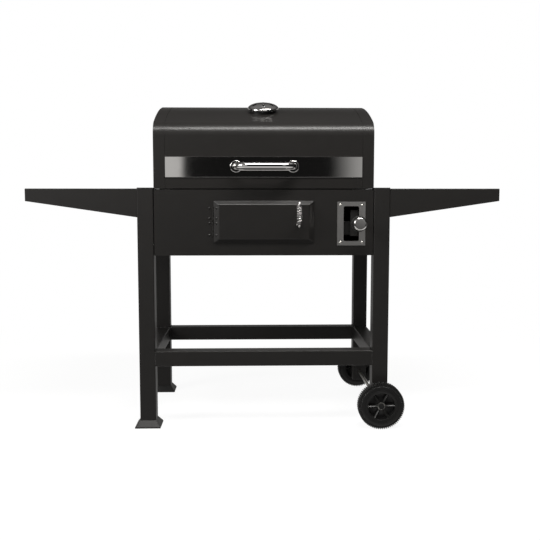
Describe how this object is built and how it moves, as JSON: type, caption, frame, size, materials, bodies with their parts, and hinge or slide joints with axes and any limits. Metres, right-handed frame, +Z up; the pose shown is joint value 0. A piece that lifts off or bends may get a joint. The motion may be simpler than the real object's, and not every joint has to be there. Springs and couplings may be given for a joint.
{
  "type": "charcoal cart grill",
  "caption": "Box-shaped charcoal grill on a four-leg cart, with a hinged vented lid, charcoal door, tray lift lever, fixed side shelves and wheels on one side.",
  "frame": {"origin": "on the ground, in the middle of the grill's width and of its whole depth", "axes": "+X to the right seen from the front, +Y towards the back, +Z up"},
  "size_m": [1.524, 0.654, 1.0742],
  "materials": {
    "cart_paint": "satin black powder coat",
    "firebox_paint": "satin black heat-resistant paint",
    "lid_paint": "semi-gloss black heat-resistant paint",
    "bare_steel": "blackened steel",
    "polished_trim": "polished stainless",
    "satin_stainless": "fine brushed stainless",
    "chrome_parts": "bright chrome plate",
    "vent_black": "black paint",
    "grate_iron": "seasoned cast iron",
    "moulded_plastic": "black moulded plastic",
    "wheel_plastic": "black moulded plastic with fine tread",
    "grip_black": "black moulded resin",
    "zinc_steel": "zinc plated"
  },
  "bodies": {
    "cart": {"leg_front_left": "cart_paint", "leg_front_right": "cart_paint", "leg_rear_left": "cart_paint", "leg_rear_right": "cart_paint", "leg_caps": "moulded_plastic", "feet": "moulded_plastic", "lower_rail_front": "cart_paint", "lower_rail_rear": "cart_paint", "lower_rail_left": "cart_paint", "lower_rail_right": "cart_paint", "side_shelf_left": "cart_paint", "side_shelf_right": "cart_paint", "axle": "zinc_steel", "axle_spacers": "zinc_steel", "axle_nuts": "grip_black", "frame_bolts": "zinc_steel", "firebox_front": "firebox_paint", "firebox_back": "firebox_paint", "firebox_end_left": "firebox_paint", "firebox_end_right": "firebox_paint", "firebox_floor": "firebox_paint", "grate_ledges": "firebox_paint", "cooking_grates": "grate_iron", "door_catch_clip": "firebox_paint", "door_hinge_fixed_leaves": "firebox_paint", "door_hinge_pins": "firebox_paint", "door_hinge_screws": "firebox_paint", "lift_pivot_brackets": "bare_steel", "lift_pivot_pins": "zinc_steel", "adjuster_plate": "satin_stainless", "adjuster_plate_screws": "zinc_steel", "lid_hinge_body_leaves": "lid_paint", "lid_hinge_pins": "zinc_steel", "lid_hinge_body_bolts": "zinc_steel"},
    "lid": {"lid_skin": "lid_paint", "lid_end_left": "lid_paint", "lid_end_right": "lid_paint", "lid_trim_strip": "polished_trim", "lid_handle": "chrome_parts", "lid_handle_bezels": "chrome_parts", "lid_handle_screws": "zinc_steel", "vent_base": "vent_black", "vent_rivet": "chrome_parts", "lid_hinge_lid_leaves": "lid_paint", "lid_hinge_lid_bolts": "zinc_steel"},
    "vent": {"vent_dome": "chrome_parts"},
    "charcoal_door": {"charcoal_door_panel": "firebox_paint", "charcoal_door_hinge_leaves": "firebox_paint", "charcoal_door_screws": "firebox_paint", "charcoal_door_tongue": "firebox_paint", "spring_handle_rod": "chrome_parts", "spring_handle_coil": "chrome_parts"},
    "tray_lift": {"lift_lever": "bare_steel", "lift_frame": "bare_steel", "lever_shield": "bare_steel", "charcoal_tray": "bare_steel", "knob_grip": "grip_black", "knob_cap": "chrome_parts"},
    "wheel_front": {"wheel_front": "wheel_plastic"},
    "wheel_rear": {"wheel_rear": "wheel_plastic"}
  },
  "joints": [
    {"name": "lid_hinge", "type": "hinge", "parent": "cart", "child": "lid", "pos_m": [0, 0.289, 0.779], "axis": [-1, 0, 0], "range_deg": [0, 90]},
    {"name": "vent_damper", "type": "hinge", "parent": "lid", "child": "vent", "pos_m": [0, -0.085, 1.03812], "axis": [0, -0.2791, 0.9603], "range_deg": [0, 30]},
    {"name": "charcoal_door_hinge", "type": "hinge", "parent": "cart", "child": "charcoal_door", "pos_m": [-0.1645, -0.2341, 0.6736], "axis": [0, 0, -1], "range_deg": [0, 110]},
    {"name": "tray_lift", "type": "hinge", "parent": "cart", "child": "tray_lift", "pos_m": [0, 0.255, 0.65], "axis": [-1, 0, 0], "range_deg": [-4.5, 4.5]},
    {"name": "front_wheel_spin", "type": "hinge", "parent": "cart", "child": "wheel_front", "pos_m": [0.3805, -0.26, 0.0755], "axis": [0, 1, 0], "continuous": true},
    {"name": "rear_wheel_spin", "type": "hinge", "parent": "cart", "child": "wheel_rear", "pos_m": [0.3805, 0.308, 0.0755], "axis": [0, 1, 0], "continuous": true}
  ]
}
